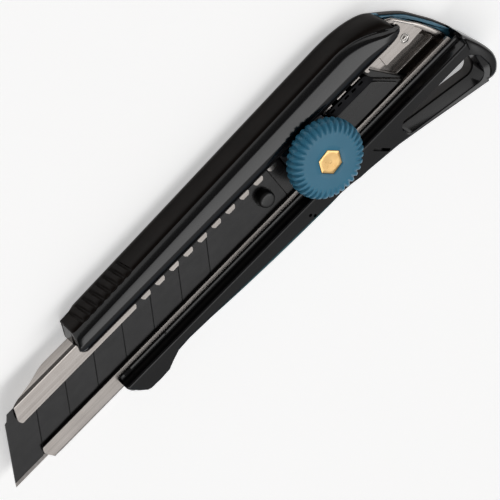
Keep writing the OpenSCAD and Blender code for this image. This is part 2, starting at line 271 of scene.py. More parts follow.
# ---------------------------------------------------------------- material helpers
class Look:
    """A Principled material, its texture nodes and their links."""

    def __init__(self, name, colour, roughness, **sockets):
        self.mat = bpy.data.materials.new(name)
        self.mat.use_nodes = True
        self.tree = self.mat.node_tree
        self.shader = self.tree.nodes["Principled BSDF"]
        self.shader.inputs["Base Color"].default_value = (*colour, 1)
        self.shader.inputs["Roughness"].default_value = roughness
        for key, value in sockets.items():
            self.shader.inputs[key.replace("_", " ")].default_value = value
        self.where = self.node("ShaderNodeTexCoord").outputs["Object"]
        self.height = None

    def node(self, kind, **settings):
        made = self.tree.nodes.new(kind)
        for key, value in settings.items():
            setattr(made, key, value)
        return made

    def feed(self, socket, value):
        if isinstance(value, bpy.types.NodeSocket):
            self.tree.links.new(value, socket)
        elif value is not None:
            socket.default_value = value

    def noise(self, scale, detail=3, stretch=(1, 1, 1), rough=0.5, turn=0):
        place = self.node("ShaderNodeMapping")
        place.inputs["Scale"].default_value = stretch
        place.inputs["Rotation"].default_value = (0, 0, turn)
        self.feed(place.inputs["Vector"], self.where)
        made = self.node("ShaderNodeTexNoise")
        made.inputs["Scale"].default_value = scale
        made.inputs["Detail"].default_value = detail
        made.inputs["Roughness"].default_value = rough
        self.feed(made.inputs["Vector"], place.outputs["Vector"])
        return made.outputs["Fac"]

    def span(self, value, low, high, to_low, to_high, smooth_step=False):
        made = self.node("ShaderNodeMapRange")
        made.interpolation_type = "SMOOTHSTEP" if smooth_step else "LINEAR"
        for key, number in (("From Min", low), ("From Max", high), ("To Min", to_low),
                            ("To Max", to_high)):
            made.inputs[key].default_value = number
        self.feed(made.inputs["Value"], value)
        return made.outputs["Result"]

    def sum(self, a, b, how="ADD"):
        made = self.node("ShaderNodeMath", operation=how)
        self.feed(made.inputs[0], a)
        self.feed(made.inputs[1], b)
        return made.outputs[0]

    def axis(self, name):
        made = self.node("ShaderNodeSeparateXYZ")
        self.feed(made.inputs[0], self.where)
        return made.outputs[name]

    def blend(self, factor, a, b):
        made = self.node("ShaderNodeMix", data_type="RGBA")
        self.feed(made.inputs[0], factor)
        self.feed(made.inputs[6], a if isinstance(a, bpy.types.NodeSocket) else (*a, 1))
        self.feed(made.inputs[7], b if isinstance(b, bpy.types.NodeSocket) else (*b, 1))
        return made.outputs[2]

    def colour(self, value):
        self.feed(self.shader.inputs["Base Color"], value)
        return self

    def roughness(self, value):
        self.feed(self.shader.inputs["Roughness"], value)
        return self

    def metal(self, value):
        self.feed(self.shader.inputs["Metallic"], value)
        return self

    def bump(self, value, strength, distance):
        made = self.node("ShaderNodeBump")
        made.inputs["Strength"].default_value = strength
        made.inputs["Distance"].default_value = distance * MM
        self.feed(made.inputs["Height"], value)
        if self.height is not None:
            self.feed(made.inputs["Normal"], self.height)
        self.height = made.outputs["Normal"]
        self.feed(self.shader.inputs["Normal"], self.height)
        return self


def moulded(name, dark, light, rough, spread=0.08, grain=2500, grain_depth=0.004,
            waves=90, wave_depth=0.02, **sockets):
    """Moulded plastic or rubber: mottled colour, uneven gloss, fine grain and slow waves."""
    look = Look(name, dark, rough, **sockets)
    patch = look.noise(140, 4)
    look.colour(look.blend(look.span(patch, 0.3, 0.7, 0, 1), dark, light))
    rub = look.noise(60, 5, stretch=(1, 4, 4), rough=0.65)
    look.roughness(look.span(rub, 0.3, 0.7, rough - spread / 2, rough + spread / 2))
    look.bump(look.noise(waves, 2), 0.35, wave_depth)
    look.bump(look.noise(grain, 2), 0.5, grain_depth)
    return look


def brushed(name, dark, light, rough, spread=0.1, lines=0.0012, stretch=(14, 1500, 1500),
            **sockets):
    """Rolled or brushed metal with fine lines along X and a few handling marks."""
    look = Look(name, light, rough, Metallic=1.0, **sockets)
    line = look.noise(1, 4, stretch=stretch, rough=0.7)
    cloud = look.noise(70, 4, rough=0.6)
    tone = look.sum(look.sum(line, 0.6, "MULTIPLY"), look.sum(cloud, 0.4, "MULTIPLY"))
    look.colour(look.blend(look.span(tone, 0.35, 0.65, 0, 1), dark, light))
    look.roughness(look.span(tone, 0.3, 0.7, rough - spread / 2, rough + spread / 2))
    look.bump(line, 0.3, lines)
    return look


# ---------------------------------------------------------------- materials
rail_mat = moulded("rail_plastic", (0.0028, 0.0028, 0.0034), (0.0045, 0.0045, 0.0052), 0.17,
                   spread=0.06, grain=900, grain_depth=0.0015, waves=45, wave_depth=0.03).mat
skin_mat = moulded("grip_rubber", (0.0052, 0.0033, 0.0024), (0.0085, 0.0055, 0.0040), 0.46,
                   spread=0.14, grain=3200, grain_depth=0.010, Specular_IOR_Level=0.1).mat
pad_mat = moulded("pad_rubber", (0.040, 0.036, 0.034), (0.060, 0.054, 0.050), 0.62,
                  spread=0.14, grain=3000, grain_depth=0.012).mat
shell_mat = moulded("shell_plastic", (0.044, 0.180, 0.280), (0.056, 0.210, 0.320), 0.34,
                    spread=0.10, grain=2600, grain_depth=0.004).mat
teal_mat = moulded("strip_rubber", (0.008, 0.070, 0.085), (0.014, 0.095, 0.110), 0.50,
                   spread=0.12, grain=3000, grain_depth=0.010).mat
dial_mat = moulded("dial_plastic", (0.046, 0.215, 0.340), (0.058, 0.245, 0.380), 0.36,
                   spread=0.10, grain=2800, grain_depth=0.006, Specular_IOR_Level=0.4).mat
slider_mat = moulded("slider_plastic", (0.007, 0.006, 0.006), (0.012, 0.011, 0.011), 0.3,
                     spread=0.12, grain=2400, grain_depth=0.008).mat
stud_mat = moulded("stud_plastic", (0.010, 0.010, 0.010), (0.016, 0.016, 0.016), 0.34,
                   spread=0.10, grain=2400, grain_depth=0.005).mat
steel_mat = brushed("channel_steel", (0.39, 0.358, 0.335), (0.48, 0.445, 0.418), 0.22).mat
rivet_mat = brushed("rivet_steel", (0.48, 0.46, 0.44), (0.62, 0.59, 0.56), 0.20,
                    stretch=(600, 600, 600)).mat
zinc_mat = brushed("zinc", (0.30, 0.30, 0.31), (0.42, 0.42, 0.43), 0.36,
                   stretch=(500, 500, 500)).mat
black_steel_mat = brushed("black_steel", (0.006, 0.006, 0.007), (0.013, 0.013, 0.014), 0.3,
                          stretch=(400, 400, 400)).mat


def blade_material():
    """Black oxide with bare ground steel along the cutting edge, and painted shade in the
    score-line grooves.
    """
    look = Look("blade_steel", (0.008, 0.008, 0.009), 0.2)
    # Object coordinates are in metres here
    y, z = look.axis("Y"), look.axis("Z")
    wander = look.sum(look.noise(300, 3, stretch=(1, 0.2, 0.2)), 0.00016, "MULTIPLY")
    bare = look.span(look.sum(y, wander), -0.00775, -0.00767, 1, 0)
    # Painted shade: inside the score-line grooves below the top face the coat is darkened to near
    # black, and it is also made rougher there
    groove = look.span(z, (BLADE_TOP - 0.10) * MM, (BLADE_TOP - 0.02) * MM, 1, 0)
    groove = look.sum(groove, look.span(z, (BLADE_TOP - 0.2) * MM, (BLADE_TOP - 0.13) * MM, 0, 1),
                      "MULTIPLY")
    groove = look.sum(groove, look.span(y, -0.0077, -0.0075, 0, 1), "MULTIPLY")
    cloud = look.noise(110, 5, rough=0.6)
    coat = look.blend(look.span(cloud, 0.3, 0.7, 0, 1), (0.0060, 0.0058, 0.0064),
                      (0.0105, 0.0100, 0.0108))
    coat = look.blend(groove, coat, (0.0015, 0.0015, 0.0016))
    lines = look.noise(1, 3, stretch=(3200, 110, 110), rough=0.6, turn=0.12)
    steel = look.blend(look.span(lines, 0.3, 0.7, 0, 1), (0.44, 0.40, 0.375), (0.60, 0.56, 0.53))
    look.colour(look.blend(bare, coat, steel))
    look.metal(bare)
    worn = look.span(look.noise(240, 4, stretch=(1, 3, 1), rough=0.7), 0.3, 0.75, 0.15, 0.27)
    ground = look.span(lines, 0.3, 0.7, 0.28, 0.42)
    both = look.sum(look.sum(worn, look.sum(1.0, bare, "SUBTRACT"), "MULTIPLY"),
                    look.sum(ground, bare, "MULTIPLY"))
    look.roughness(look.sum(both, look.sum(groove, 0.5, "MULTIPLY")))
    look.bump(look.noise(1800, 2), 0.25, 0.0015)
    look.bump(look.sum(lines, bare, "MULTIPLY"), 0.5, 0.004)
    return look.mat


def brass_material():
    """Turned brass: rings about the dial's axis and soft tarnish."""
    look = Look("turned_brass", (0.80, 0.52, 0.22), 0.3, Metallic=1.0)
    place = look.node("ShaderNodeMapping")
    place.inputs["Location"].default_value = (-DIAL_X * MM, 0, 0)
    look.feed(place.inputs["Vector"], look.where)
    rings = look.node("ShaderNodeTexWave", wave_type="RINGS", rings_direction="Z")
    rings.inputs["Scale"].default_value = 900
    rings.inputs["Distortion"].default_value = 0.6
    look.feed(rings.inputs["Vector"], place.outputs["Vector"])
    cloud = look.noise(420, 4, rough=0.6)
    look.colour(look.blend(look.span(cloud, 0.3, 0.7, 0, 1), (0.74, 0.46, 0.185),
                           (0.86, 0.58, 0.26)))
    look.roughness(look.span(cloud, 0.3, 0.7, 0.24, 0.38))
    look.bump(rings.outputs["Fac"], 0.25, 0.003)
    return look.mat


blade_mat, brass_mat = blade_material(), brass_material()


# ---------------------------------------------------------------- plan outlines
def handle_outline():
    """Whole plan outline of the handle, counter-clockwise."""
    front = rounded([(-63, -10.6), (-63, -6.5), (-63.6, 6.2), (-64.9, 9.5), (-62.6, 14.72)],
                    [0, 0, 0.4, 0.8, 1.2])[1:]
    spine = [(x, along(SPINE, x)) for x in (-58, -40, -25, 0, 20)]
    bend = smooth([(30, 17.6), (35, 17.45), (40, 16.6), (44.3, 15), (47.5, 12.4), (51, 9.2)], 4)
    rear = smooth(REAR_EDGE[5:0:-1], 4)[1:]
    tail = smooth(TAIL[::-1], 4)[1:]
    belly = smooth([(x, y) for x, y in BELLY if x < 55][::-1], 3)
    clockwise = front + spine + bend + rear + tail + belly
    return clockwise[::-1]


def loop_outline():
    """Plan outline of the tail loop, counter-clockwise."""
    corners = [(35.2, -13.75, 2, 74, 184), (35.4, -14.8, 2, 176, 257), (57, -18.2, 2.7, 257, 362),
               (57.2, -14.45, 2.7, -2, 91)]
    out = []
    for x, y, r, a0, a1 in corners:
        for i in range(9):
            a = math.radians(a0 + (a1 - a0) * i / 8)
            out.append((x + r * math.cos(a), y + r * math.sin(a)))
    return out


def prisms(name, outlines, low, high):
    """One object with an upright prism on each plan outline."""
    verts, faces = [], []
    for outline in outlines:
        start, n = len(verts), len(outline)
        for z in (low, high):
            verts += [(x, y, z) for x, y in outline]
        faces += [(start + i, start + (i + 1) % n, start + n + (i + 1) % n, start + n + i)
                  for i in range(n)]
        faces += [tuple(range(start + n - 1, start - 1, -1)),
                  tuple(range(start + n, start + 2 * n))]
    return make(name, verts, faces)


def shaft(name, spots, r, low, high, n=24):
    """One object with an upright cylinder at each spot."""
    angles = [2 * math.pi * i / n for i in range(n)]
    return prisms(name, [[(x + r * math.cos(a), y + r * math.sin(a)) for a in angles]
                         for x, y in spots], low, high)


REAR_CURVE = smooth(REAR_EDGE, 5)
HANDLE = handle_outline()
LOOP = loop_outline()
# The loop's upper edge is flared in full along the lower side, less at both ends and least along
# the spine side
LOOP_FLARE = [max(0.1, min(1.0, (-12.8 - y) / 3.2)) * (0.6 if x > 58.4 else 1.0)
              * (0.5 if x < 34.5 else 1.0) for x, y in LOOP]


# ---------------------------------------------------------------- spine rail and its skin
# The rail's nose, and the station whose section is used there
RAIL_NOSE, NOSE_STATION = -64.0, -63.6


# Plan stations of the rail: lip, crown, crease, outer edge and inner wall, each (x, y),
# then the heights of crown and crease.
def straight_station(x):
    edge = along(SPINE, x)
    return (x, 6.1, x, 10.9, x, edge - 0.8, x, edge, x, WALL_SPINE + 0.05, 10.2, 8.1)


REAR_STATIONS = [
    (33, 6.1, 33, 10.9, 33, 16.75, 33.2, 17.53, 33, 10.65, 10.2, 8.1),
    (36, 6.1, 36, 10.9, 36.4, 16.05, 36.8, 17.25, 36, 10.65, 10.2, 8.1),
    (38.5, 6.1, 38.6, 10.6, 39.5, 14.85, 40.3, 16.5, 38.5, 10.65, 10.15, 8.1),
    (40.8, 6.1, 41, 10.1, 42.1, 13.4, 43.1, 15.5, 41, 10.65, 10.05, 8.05),
    (43, 6.12, 43.2, 9.5, 44.3, 11.9, 45.2, 14.45, 43.5, 10.65, 9.8, 7.95),
    (45, 6.2, 45.2, 8.9, 46.2, 10.6, 46.6, 13.3, 46, 10.65, 9.35, 7.8),
    (46.8, 6.5, 47.0, 8.3, 47.6, 9.5, 47.6, 11.4, 47.75, 10.65, 8.7, 7.6),
]
TIP_STATIONS = [
    (46.82, 6.5, 47.02, 8.4, 47.62, 9.5, 47.62, 11.36, 47.77, 10.6, 8.7, 7.6),
    (48.2, 7.15, 48.3, 8.3, 48.6, 9.05, 48.7, 9.9, 48.6, 9.5, 8.0, 7.3),
    (49.0, 7.95, 49.05, 8.5, 49.1, 8.85, 49.2, 9.2, 49.15, 8.95, 7.3, 7.0),
]
FRONT_EDGE = [(6.1, 1.5), (6.35, 0.85), (6.9, 0.35), (7.8, 0.0), (9.5, -0.95), (10.6, -0.75),
              (14.65, 1.2)]
# Inner face from lip to crown as shares of the way in plan and in height
INNER_FACE = [(0.03, 0.06), (0.10, 0.18), (0.20, 0.35), (0.32, 0.53), (0.46, 0.70), (0.60, 0.83),
              (0.75, 0.93), (0.88, 0.982)]
# Outer face: a gently falling band from the crown, then a steep knee down to the crease
BAND_FALL = 0.156
KNEE_WIDTH = 1.0
BAND = [(0.05, 0.02), (0.15, 0.11), (0.5, 0.48), (0.85, 0.85)]
KNEE = [(0.0, 0.02), (0.25, 0.14), (0.5, 0.36), (0.75, 0.66)]


def rail_ring(station, foot, front=None, drop=0.0):
    """Closed ring of the rail; front moves its points along X, drop lowers its top."""
    lx, ly, cx, cy, kx, ky, ex, ey, wx, wy, crown, crease = station
    crown, crease = crown - drop, crease - drop
    low = LIP + 0.3
    ring = [(wx, wy, foot), (wx, wy, LIP), (lx, ly + 0.05, LIP), (lx, ly, LIP + 0.12)]
    ring += [(lx + (cx - lx) * s, ly + (cy - ly) * s, low + (crown - low) * h)
             for s, h in INNER_FACE]
    ring.append((cx, cy, crown))
    span = math.hypot(kx - cx, ky - cy)
    knee = min(KNEE_WIDTH, 0.4 * span) / span
    brow = crown - min(BAND_FALL * (1 - knee) * span, 0.4 * (crown - crease))
    outer = [(s * (1 - knee), crown + (brow - crown) * h) for s, h in BAND]
    outer += [(1 - knee + s * knee, brow + (crease - brow) * h) for s, h in KNEE]
    ring += [(cx + (kx - cx) * s, cy + (ky - cy) * s, z) for s, z in outer]
    ring.append((kx, ky, crease))
    px, py = kx + (ex - kx) * 0.12, ky + (ey - ky) * 0.12
    ring += [(px, py, crease - 0.25), (px, py, crease - 0.6),
             (kx + (ex - kx) * 0.2, ky + (ey - ky) * 0.2, max(foot, LIP - 0.6)),
             (kx + (ex - kx) * 0.2, ky + (ey - ky) * 0.2, foot)]
    if front is None:
        return ring
    return [(front + along(FRONT_EDGE, y), y, z) for x, y, z in ring]


def spine_rail():
    rings = []
    for depth, drop in ((0, 0.9), (0.12, 0.55), (0.35, 0.27), (0.75, 0.09), (1.4, 0)):
        rings.append(rail_ring(straight_station(NOSE_STATION + depth), SHELL_TOP,
                               RAIL_NOSE + depth, drop))
    for k in range(1, 6):
        share = k / 6
        x = -62.6 + 5 * share
        ring = rail_ring(straight_station(x), SHELL_TOP)
        rings.append([(px + along(FRONT_EDGE, py) * (1 - share) ** 2, py, pz)
                      for px, py, pz in ring])
    rings += [rail_ring(straight_station(x), SHELL_TOP)
              for x in (-57, -50, -40, -30, -20, -10, 0, 10, 20, 25, 30)]
    rings += [rail_ring(s, SHELL_TOP)
              for s in smooth([straight_station(30)] + REAR_STATIONS, 4)[1:]]
    rings += [rail_ring(s, LIP) for s in smooth(TIP_STATIONS, 4)]
    obj = loft("spine_rail_body", rings)
    carve(obj, shaft("boss_pits", SCREWS[:2], BOSS_PIT_R, 0, BOSS_PIT_TOP))
    return dress(obj, rail_mat, "handle", "rail", "spine_rail", sharp=50)


RIB_START, RIB_PITCH, RIB_COUNT = -58.2, 2.45, 7


def rib_at(x):
    """1 on a rib's crest and 0 in a groove, or None away from the ribs."""
    s = (x - RIB_START) / RIB_PITCH
    if s < -0.62 or s > RIB_COUNT - 1 + 0.62:
        return None
    phase = abs(s - round(s)) * 2
    return 1 - min(1, max(0, (phase - 0.45) / 0.4)) if 0 <= round(s) < RIB_COUNT else 0.0


def skin_ring(station, rib=None, drop=0.0, front=None, lean=False):
    kx, ky, ex, ey = station[4], station[5], station[6], station[7]
    crease = station[11]
    depth = Vector((ex - kx, ey - ky))
    out = depth.normalized()
    height = crease - 0.3 - drop
    wide = depth.length > 1
    raise_by, up = 0.0, 0.0
    if rib is not None:
        raise_by = -0.5 + 0.65 * rib
        up = 0.25 * rib

    def at(share, push):
        p = Vector((kx, ky)) + depth * share + out * push
        return p.x, p.y

    ring = [(*at(1, -1.3), PAD_TOP), (*at(1, -0.1), PAD_TOP), (*at(1, 0), PAD_TOP + 0.1),
            (*at(1, 0), PAD_TOP + 0.4), (*at(1, raise_by * 0.5), PAD_TOP + 0.9),
            (*at(1, raise_by), PAD_TOP + 1.8),
            (*at(0.99, raise_by), 4.2),
            (*at(0.9 if wide else 1, raise_by), 6.0),
            (*at(0.72 if wide else 0.98, raise_by), height - 0.9),
            (*at(0.60 if wide else 0.87, raise_by * 0.8), height - 0.5 + up * 0.4),
            (*at(0.45 if wide else 0.65, raise_by * 0.4), height - 0.2 + up * 0.8),
            (*at(0.30, 0), height - 0.02 + up),
            (*at(0.16, 0), height + 0.08 + up * 0.4),
            (*at(0.05, 0), height - 0.2),
            (*at(0.02, 0), height - 0.9)]
    inner = at(0, 0) if depth.length > 1.31 else at(1, -1.3)
    ring.append((*inner, height - 1.6))
    ring.append((*inner, 4.0))
    if front is not None:
        ring = [(front + along(FRONT_EDGE, y), y, z) for x, y, z in ring]
    if lean:
        ring = [(x + 0.11 * (z - 5), y, z) for x, y, z in ring]
    return ring


def spine_skin():
    rings = []
    for depth, drop in ((0.02, 0.9), (0.15, 0.55), (0.4, 0.25), (0.8, 0.08), (1.3, 0)):
        rings.append(skin_ring(straight_station(NOSE_STATION + depth), None, drop,
                               RAIL_NOSE + depth))
    x = -61.4
    while x < -40.5:
        if x > -60.6:
            rings.append(skin_ring(straight_station(x), rib_at(x), lean=True))
        x += 0.17
    rings += [skin_ring(straight_station(x)) for x in (-39, -35, -30, -20, -10, 0, 10, 20, 30)]
    rings += [skin_ring(s) for s in smooth([straight_station(30)] + REAR_STATIONS, 4)[1:]]
    obj = loft("spine_grip_skin", rings)
    return dress(obj, skin_mat, "handle", "grip", "spine_grip", sharp=60)


# ---------------------------------------------------------------- lower rail, tail and strip
# Where the lower rail's ridge stands and how high it is
RIDGE_Y, RIDGE_TOP = -8.84, 10.06
# How far the rail's outer edge lies below the ridge, by x
BELLY_FALL = [(-63, 1.1), (-45, 0.95), (5, 1.0), (18, 1.15), (28, 1.2), (38, 1.1), (48, 0.9),
              (60, 0.7)]
# How far back the rail's front end lies, by y
BELLY_FRONT = [(-12.2, 0.9), (-10.6, 0.45), (-8.9, 0.05), (-7.4, 0.1), (-6.4, 0.6)]


def belly_ring(x, edge_y=None):
    w = along(BELLY, x) if edge_y is None else edge_y
    fall = along(BELLY_FALL, x)
    wall = WALL_LOWER - 0.05
    ring = [(wall, SHELL_TOP), (wall, LIP), (-6.7, LIP), (-6.65, LIP + 0.08), (-6.65, 6.72),
            (-6.72, 6.82), (-6.85, 6.88), (-7.62, 6.99), (-7.8, 7.08), (-7.88, 7.3), (-8.1, 9.7),
            (-8.16, 9.88), (-8.28, 9.97), (-8.64, 10.06), (-8.74, 10.07), (RIDGE_Y, RIDGE_TOP)]
    for s in (0.12, 0.25, 0.4, 0.55, 0.7, 0.82, 0.9):
        ring.append((RIDGE_Y + (w - RIDGE_Y) * s, RIDGE_TOP - fall * (0.62 * s + 0.3 * s ** 3)))
    edge = RIDGE_TOP - fall
    ring += [(w + 0.4, edge), (w + 0.13, edge - 0.28), (w, edge - 0.7), (w, SHELL_TOP)]
    return [(x, y, z) for y, z in ring]


def lower_rail():
    rings = []
    for depth, drop in ((0, 0.7), (0.12, 0.4), (0.35, 0.17), (0.8, 0)):
        ring = belly_ring(-62.9 + depth)
        rings.append([(-63.2 + depth + along(BELLY_FRONT, y), y,
                       z - drop if z > LIP + 0.1 else z) for x, y, z in ring])
    stations = smooth([(x, y) for x, y in BELLY if x < 59], 4)
    xs = [x for x, y in stations if x > -61.6]
    rings += [belly_ring(x) for x in xs]
    rings += [belly_ring(x) for x in (44, 48, 52, 56, 58.9) if x > xs[-1] + 0.5]
    rings.append([(x, y, z - 0.5 if z > 8.5 else z) for x, y, z in belly_ring(60.2, -20.6)])
    obj = loft("lower_rail_body", rings)
    tail = smooth(TAIL, 5)
    outline = [(54, along(BELLY, 54) + 0.02)] + tail[1:] + [(59.6, -6.6), (59.6, -10.58),
                                                            (54, -10.58)]
    limits = [9] + [max(0.25, min(9, (-4.2 - y) * 0.45)) for x, y in tail[1:]] + [0, 0, 0]
    join(obj, stack("tail", outline, [
        (SHELL_TOP, 0), (7.4, 0), (8.3, -0.12), (8.9, -0.4), (9.35, -0.85), (9.65, -1.5),
        (9.83, -2.3), (9.9, -3.0)], limits))
    carve(obj,
          stack("loop", LOOP, [(-1, 0), (8.85, 0), (9.05, 0.06), (9.14, 0.3), (9.5, 2.7),
                               (9.75, 3.0), (10.6, 3.6)], weights=LOOP_FLARE),
          shaft("boss_pits", SCREWS[2:], BOSS_PIT_R, 0, BOSS_PIT_TOP),
          shaft("marks", [(0.6, -11.6), (1.5, -12.9)], 0.5, 8.4, 12, 16),
          stack("slot", rounded([(23.4, -11.3), (24.4, -11.0), (27.7, -15.3), (26.8, -15.7)],
                                0.3), [(7.4, 0), (12, 0)]))
    return dress(obj, rail_mat, "handle", "rail", "lower_rail", sharp=38, flat_faces=True)


def belly_strip():
    rings = []
    for k in range(25):
        x = -38 + 2 * k
        w = along(BELLY, x)
        bulge = 0.6 * math.sin(math.pi * k / 24) ** 0.6 if 0 < k < 24 else 0.0
        y = w - bulge
        ring = [(w + 0.8, 3.0), (w + 0.8, 8.8), (y + 0.3, 8.8), (y + 0.08, 8.7), (y, 8.45),
                (y, 3.5), (y + 0.1, 3.15), (y + 0.35, 3.0)]
        rings.append([(x, a, b) for a, b in ring])
    obj = loft("belly_strip", rings)
    return dress(obj, teal_mat, "handle", "soft_teal", "belly_grip", sharp=60)


# ---------------------------------------------------------------- back shell and pad
def back_shell():
    covered = [0.3 if y > 9 and x < 46 else 0.0 for x, y in HANDLE]
    obj = stack("back_shell_body", HANDLE, [(PAD_TOP, -0.3), (SHELL_TOP, -0.3)], covered)
    # Seat of the pad's rim
    carve(obj, stack("seat", [(x + 1, y + 0.8) for x, y in REAR_CURVE]
                     + [(x - 0.38, y - 0.285) for x, y in REAR_CURVE][::-1], [(0, 0), (5, 0)]))
    inner = smooth([(x - REAR_STEP, y) for x, y in (
        (48.6, 11.0), (49.2, 10.4), (50.5, 9.45), (52.95, 5.9), (55.35, 2.4), (57.35, -1.6),
        (58.65, -5), (59.35, -7.5))], 5)
    ledge = [(x - 0.38, y - 0.26) for x, y in REAR_CURVE] + inner
    join(obj, stack("ledge", ledge, [(SHELL_TOP - 0.3, 0), (2.95, 0), (3.2, -0.08),
                                     (LEDGE_TOP, -0.25)]))
    join(obj, shaft("bosses", SCREWS, BOSS_R, SHELL_TOP - 0.2, BOSS_TOP, 32))
    carve(obj, stack("loop", LOOP, [(-1, 0), (20, 0)]), shaft("screw_holes", SCREWS, 1.3, -1, 10),
          shaft("rivet_holes", RIVETS, 1.5, -1, 10))
    return dress(soften(obj, 0.06, 1), shell_mat, "handle", "shell", "back_shell", flat_faces=True)


def back_pad():
    obj = stack("back_pad_body", HANDLE, [(0, -0.45), (0.08, -0.2), (0.3, -0.04), (0.5, 0),
                                          (PAD_TOP, 0)])
    inner = [(x - 0.36, y - 0.27) for x, y in REAR_CURVE][::-1]
    # A rim stands up outside the shell along the rear edge
    join(obj, stack("rim", REAR_CURVE + inner, [(0.5, 0), (1.8, 0), (1.95, -0.08)]))
    # A collar lines the lower part of the loop
    collar = stack("collar", offset(LOOP, 0.2), [(0.2, 0), (3.4, 0), (3.6, -0.1)])
    carve(collar, stack("bore", offset(LOOP, -0.3), [(-1, 0), (20, 0)]))
    carve(obj, stack("loop", LOOP, [(-1, 0), (20, 0)]), shaft("screw_pits", SCREWS, 2.4, -1, 10))
    join(obj, collar)
    c, s = math.cos(math.radians(30)), math.sin(math.radians(30))
    for i in range(12):
        x = -33 + 5 * i
        box = rounded([(x + dx * c - dy * s, dx * s + dy * c)
                       for dx, dy in ((-0.7, -7), (0.7, -7), (0.7, 7), (-0.7, 7))], 0.6)
        carve(obj, stack("groove", box, [(-1, 0.5), (0.05, 0.35), (0.4, 0)]))
    return dress(obj, pad_mat, "handle", "pad", "back_pad")


# ---------------------------------------------------------------- steel channel
def channel_ring(x):
    bend, sheet = 1.0, 0.8
    inside = bend - sheet
    low, high, left, right = CHANNEL_LOW, FLANGE_TOP, WALL_LOWER, WALL_SPINE

    def arc(y, z, radius, a0, a1, n=8):
        return [(y + radius * math.cos(math.radians(a0 + (a1 - a0) * i / n)),
                 z + radius * math.sin(math.radians(a0 + (a1 - a0) * i / n)))
                for i in range(n + 1)]

    line = [(SLOT_LOWER, high)] + arc(left + bend, high - bend, bend, 90, 180)
    line += arc(left + bend, low + bend, bend, 180, 270)
    line += arc(right - bend, low + bend, bend, 270, 360)
    line += arc(right - bend, high - bend, bend, 0, 90)
    line += [(SLOT_SPINE, high), (SLOT_SPINE, FLANGE_LOW)]
    line += arc(right - bend, high - bend, inside, 90, 0)
    line += arc(right - bend, low + bend, inside, 360, 270)
    line += arc(left + bend, low + bend, inside, 270, 180)
    line += arc(left + bend, high - bend, inside, 180, 90)
    line += [(SLOT_LOWER, FLANGE_LOW)]
    return [(x, y, z) for y, z in line]


def side_prism(name, profile, y0, y1):
    """Prism of an X-Z outline between two values of y."""
    return loft(name, [[(x, y, z) for x, z in profile] for y in (y0, y1)])


def blade_channel():
    obj = loft("channel_body", [channel_ring(x) for x in (-89, 62)])
    taper = smooth([(-86.2, 6.3), (-83.2, 5.64), (-79.2, 4.7), (-74.7, 2.9), (-71.2, 2.2),
                    (-68, 1.98)], 5)
    rear = smooth([(x - REAR_STEP, y) for x, y in CHANNEL_REAR], 5)
    spine_nose = rounded([(-85.6, 12), (-86.2, 9.6), (-87.75, 6.0), (-87.2, 4.45), (-85.5, 4.3),
                          (-85.5, -5.0), (-88.2, -5.0), (-89.0, -6.9), (-87.5, -10.1),
                          (-87.4, -12)], [0, 0.8, 1.6, 1.0, 0, 0, 0.8, 0.8, 0.1, 0], 5)
    carve(obj,
          side_prism("taper", [(-95, -1), (-95, 6.3)] + taper + [(-68, -1)], -20, 20),
          stack("rear", (rear + [(48.4, 20), (80, 20), (80, -20), (59.5, -20)])[::-1],
                [(-1, 0), (20, 0)]),
          stack("nose", [(-95, -12), (-95, 12)] + spine_nose, [(BLADE_TOP - 0.05, 0), (20, 0)]))
    ramp = [(-67, CHANNEL_LOW), (-68, CHANNEL_LOW), (-71, 2.25), (-77, 4.05), (-86, 4.05),
            (-86, 4.85), (-77.3, 4.85), (-71.3, 3.05), (-68, FLOOR_TOP), (-67, FLOOR_TOP)]
    tab = rounded([(40.4, 6.2), (40.4, 2.15), (46.6, 2.15), (48.6, 1.8), (51.3, 2.15),
                   (53.5, 2.15), (51.9, 4.8), (50.2, 8.2)], [0, 0.5, 1.2, 1.4, 1.0, 0.3, 0.5, 0])
    join(obj, side_prism("ramp", ramp, -8, 8))
    join(obj, stack("tab", tab, [(FLANGE_LOW, 0), (FLANGE_TOP, 0)]))
    cutters = []
    for i in range(17):
        x = -45.8 + 5 * i
        cutters.append(rounded([(x - 1.75, 4.0), (x + 1.75, 4.0), (x + 1.55, 4.62), (x + 1, 5.25),
                                (x + 1, 6.5), (x - 1, 6.5), (x - 1, 5.25), (x - 1.55, 4.62)],
                               [0, 0, 0.3, 0.35, 0.3, 0.3, 0.35, 0.3], 3))
    # The flange is narrowed between the last notch and the widened tail
    cutters.append(rounded([(36.2, 3), (40.4, 3), (40.4, 5.6), (36.2, 5.6)], [0, 0, 0.4, 0.4]))
    recess = [(-3.7, 3.4), (-3.7, 2.46), (-3.5, 2.4), (-0.2, 2.79), (0.3, 2.801), (0.3, 3.4)]
    carve(obj, loft("recess", [[(x, y, z) for y, z in recess] for x in (39, 56.5)]))
    carve(obj, prisms("notches", cutters, FLANGE_LOW - 0.5, FLANGE_TOP + 1),
          shaft("rivet_holes", RIVETS, 1.49, -1, 5),
          shaft("tab_rivet_hole", [TAB_RIVET], 1.1, FLANGE_LOW - 1, 12))
    soften(obj, 0.1, 2, 50)
    return dress(obj, steel_mat, "handle", "steel", "blade_channel", sharp=40,
                 flat_faces=True)


